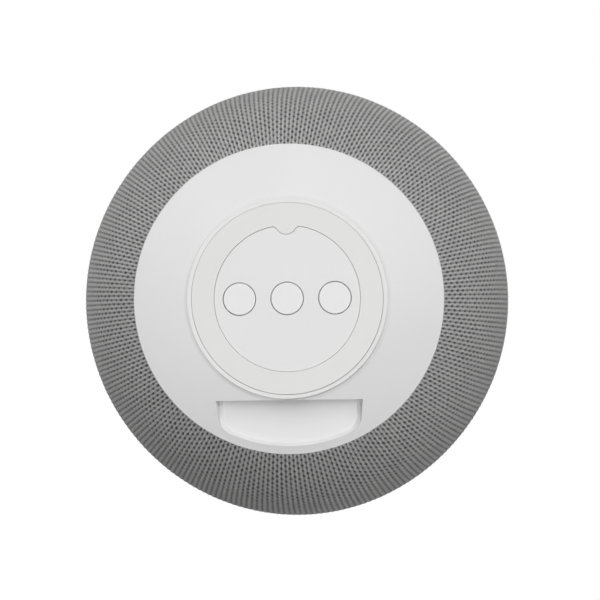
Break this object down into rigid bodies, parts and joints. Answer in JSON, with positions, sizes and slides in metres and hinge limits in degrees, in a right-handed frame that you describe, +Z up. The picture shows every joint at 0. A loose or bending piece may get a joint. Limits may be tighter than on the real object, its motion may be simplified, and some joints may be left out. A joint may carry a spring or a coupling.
{
  "type": "smart speaker",
  "caption": "Ball-shaped tabletop smart speaker: knitted skin over a slotted shell, flat-footed base with a rear cable bay, buttons and light ring on top, forward driver inside.",
  "frame": {"origin": "on the table, under the ball's vertical axis: the bottom centre of the whole object's box", "axes": "+Z up; the driver faces -Y (front); the cable bay and its inlet are at +Y (rear); +X is the volume-up side"},
  "size_m": [0.1, 0.1, 0.0924],
  "materials": {
    "base_plastic": "fine moulded grain, near-white",
    "foot_silicone": "satin, slightly translucent warm white",
    "plug_plastic": "smooth satin near-white",
    "knit_fabric": "open circular knit, light grey yarn",
    "control_plastic": "fine moulded grain, near-white",
    "button_plastic": "smooth satin near-white",
    "light_diffuser": "milky translucent",
    "socket_steel": "drawn, bright",
    "tongue_plastic": "black insulator with gold contacts",
    "board_laminate": "solder mask",
    "screw_steel": "zinc plated",
    "frame_plastic": "black moulding",
    "basket_steel": "satin black",
    "magnet_ferrite": "sintered, dull",
    "pole_steel": "plated",
    "coil_copper": "enamelled copper wire",
    "cone_paper": "coated pulp",
    "spider_cloth": "resin-dipped cloth",
    "seal_rubber": "soft black",
    "can_steel": "tin plated",
    "part_ceramic": "small packages",
    "capacitor_can": "sleeveless can",
    "sink_aluminium": "as extruded",
    "lead_jacket": "soft jacket"
  },
  "bodies": {
    "root": {"antennas": "board_laminate", "base_cover": "base_plastic", "base_screws": "screw_steel", "board_connectors": "frame_plastic", "board_screws": "screw_steel", "button_switches": "frame_plastic", "capacitors": "capacitor_can", "chassis": "frame_plastic", "control_plate": "control_plastic", "driver_basket": "basket_steel", "driver_gasket": "seal_rubber", "driver_magnet": "magnet_ferrite", "driver_screws": "screw_steel", "driver_terminals": "frame_plastic", "driver_top_plate": "pole_steel", "driver_yoke": "pole_steel", "enclosure_front": "frame_plastic", "enclosure_gasket": "seal_rubber", "enclosure_rear": "frame_plastic", "enclosure_screws": "screw_steel", "fabric_sleeve": "knit_fabric", "foot_ring": "foot_silicone", "grille_frame": "frame_plastic", "heat_spreader": "sink_aluminium", "leds": "part_ceramic", "light_ring": "light_diffuser", "main_board": "board_laminate", "microphones": "part_ceramic", "plug_centre": "plug_plastic", "plug_left": "plug_plastic", "plug_right": "plug_plastic", "power_lead": "lead_jacket", "ribbon_cable": "lead_jacket", "shield_cans": "can_steel", "speaker_leads": "lead_jacket", "spider": "spider_cloth", "surround": "seal_rubber", "thermal_pad": "seal_rubber", "top_board": "board_laminate", "top_frame": "frame_plastic", "top_screws": "screw_steel", "usb_board": "board_laminate", "usb_board_screws": "screw_steel", "usb_socket": "socket_steel", "usb_tongue": "tongue_plastic", "wire_grommet": "seal_rubber"},
    "cone_assembly": {"speaker_cone": "cone_paper", "dust_cap": "cone_paper", "coil_former": "cone_paper", "voice_coil": "coil_copper"},
    "volume_up": {"volume_up_button": "button_plastic"},
    "volume_down": {"volume_down_button": "button_plastic"},
    "action": {"action_button": "button_plastic"},
    "mic_mute": {"mic_mute_button": "button_plastic"}
  },
  "joints": [
    {"name": "cone_excursion", "type": "slide", "parent": "root", "child": "cone_assembly", "axis": [0, -1, 0], "range_m": [-0.0012, 0.0012], "stiffness_N_per_m": 2000, "deforming": ["surround", "spider"]},
    {"name": "volume_up_press", "type": "slide", "parent": "root", "child": "volume_up", "axis": [0, 0, -1], "range_m": [0, 0.0004], "stiffness_N_per_m": 3000},
    {"name": "volume_down_press", "type": "slide", "parent": "root", "child": "volume_down", "axis": [0, 0, -1], "range_m": [0, 0.0004], "stiffness_N_per_m": 3000},
    {"name": "action_press", "type": "slide", "parent": "root", "child": "action", "axis": [0, 0, -1], "range_m": [0, 0.0004], "stiffness_N_per_m": 3000},
    {"name": "mic_mute_press", "type": "slide", "parent": "root", "child": "mic_mute", "axis": [0, 0, -1], "range_m": [0, 0.0004], "stiffness_N_per_m": 3000}
  ]
}
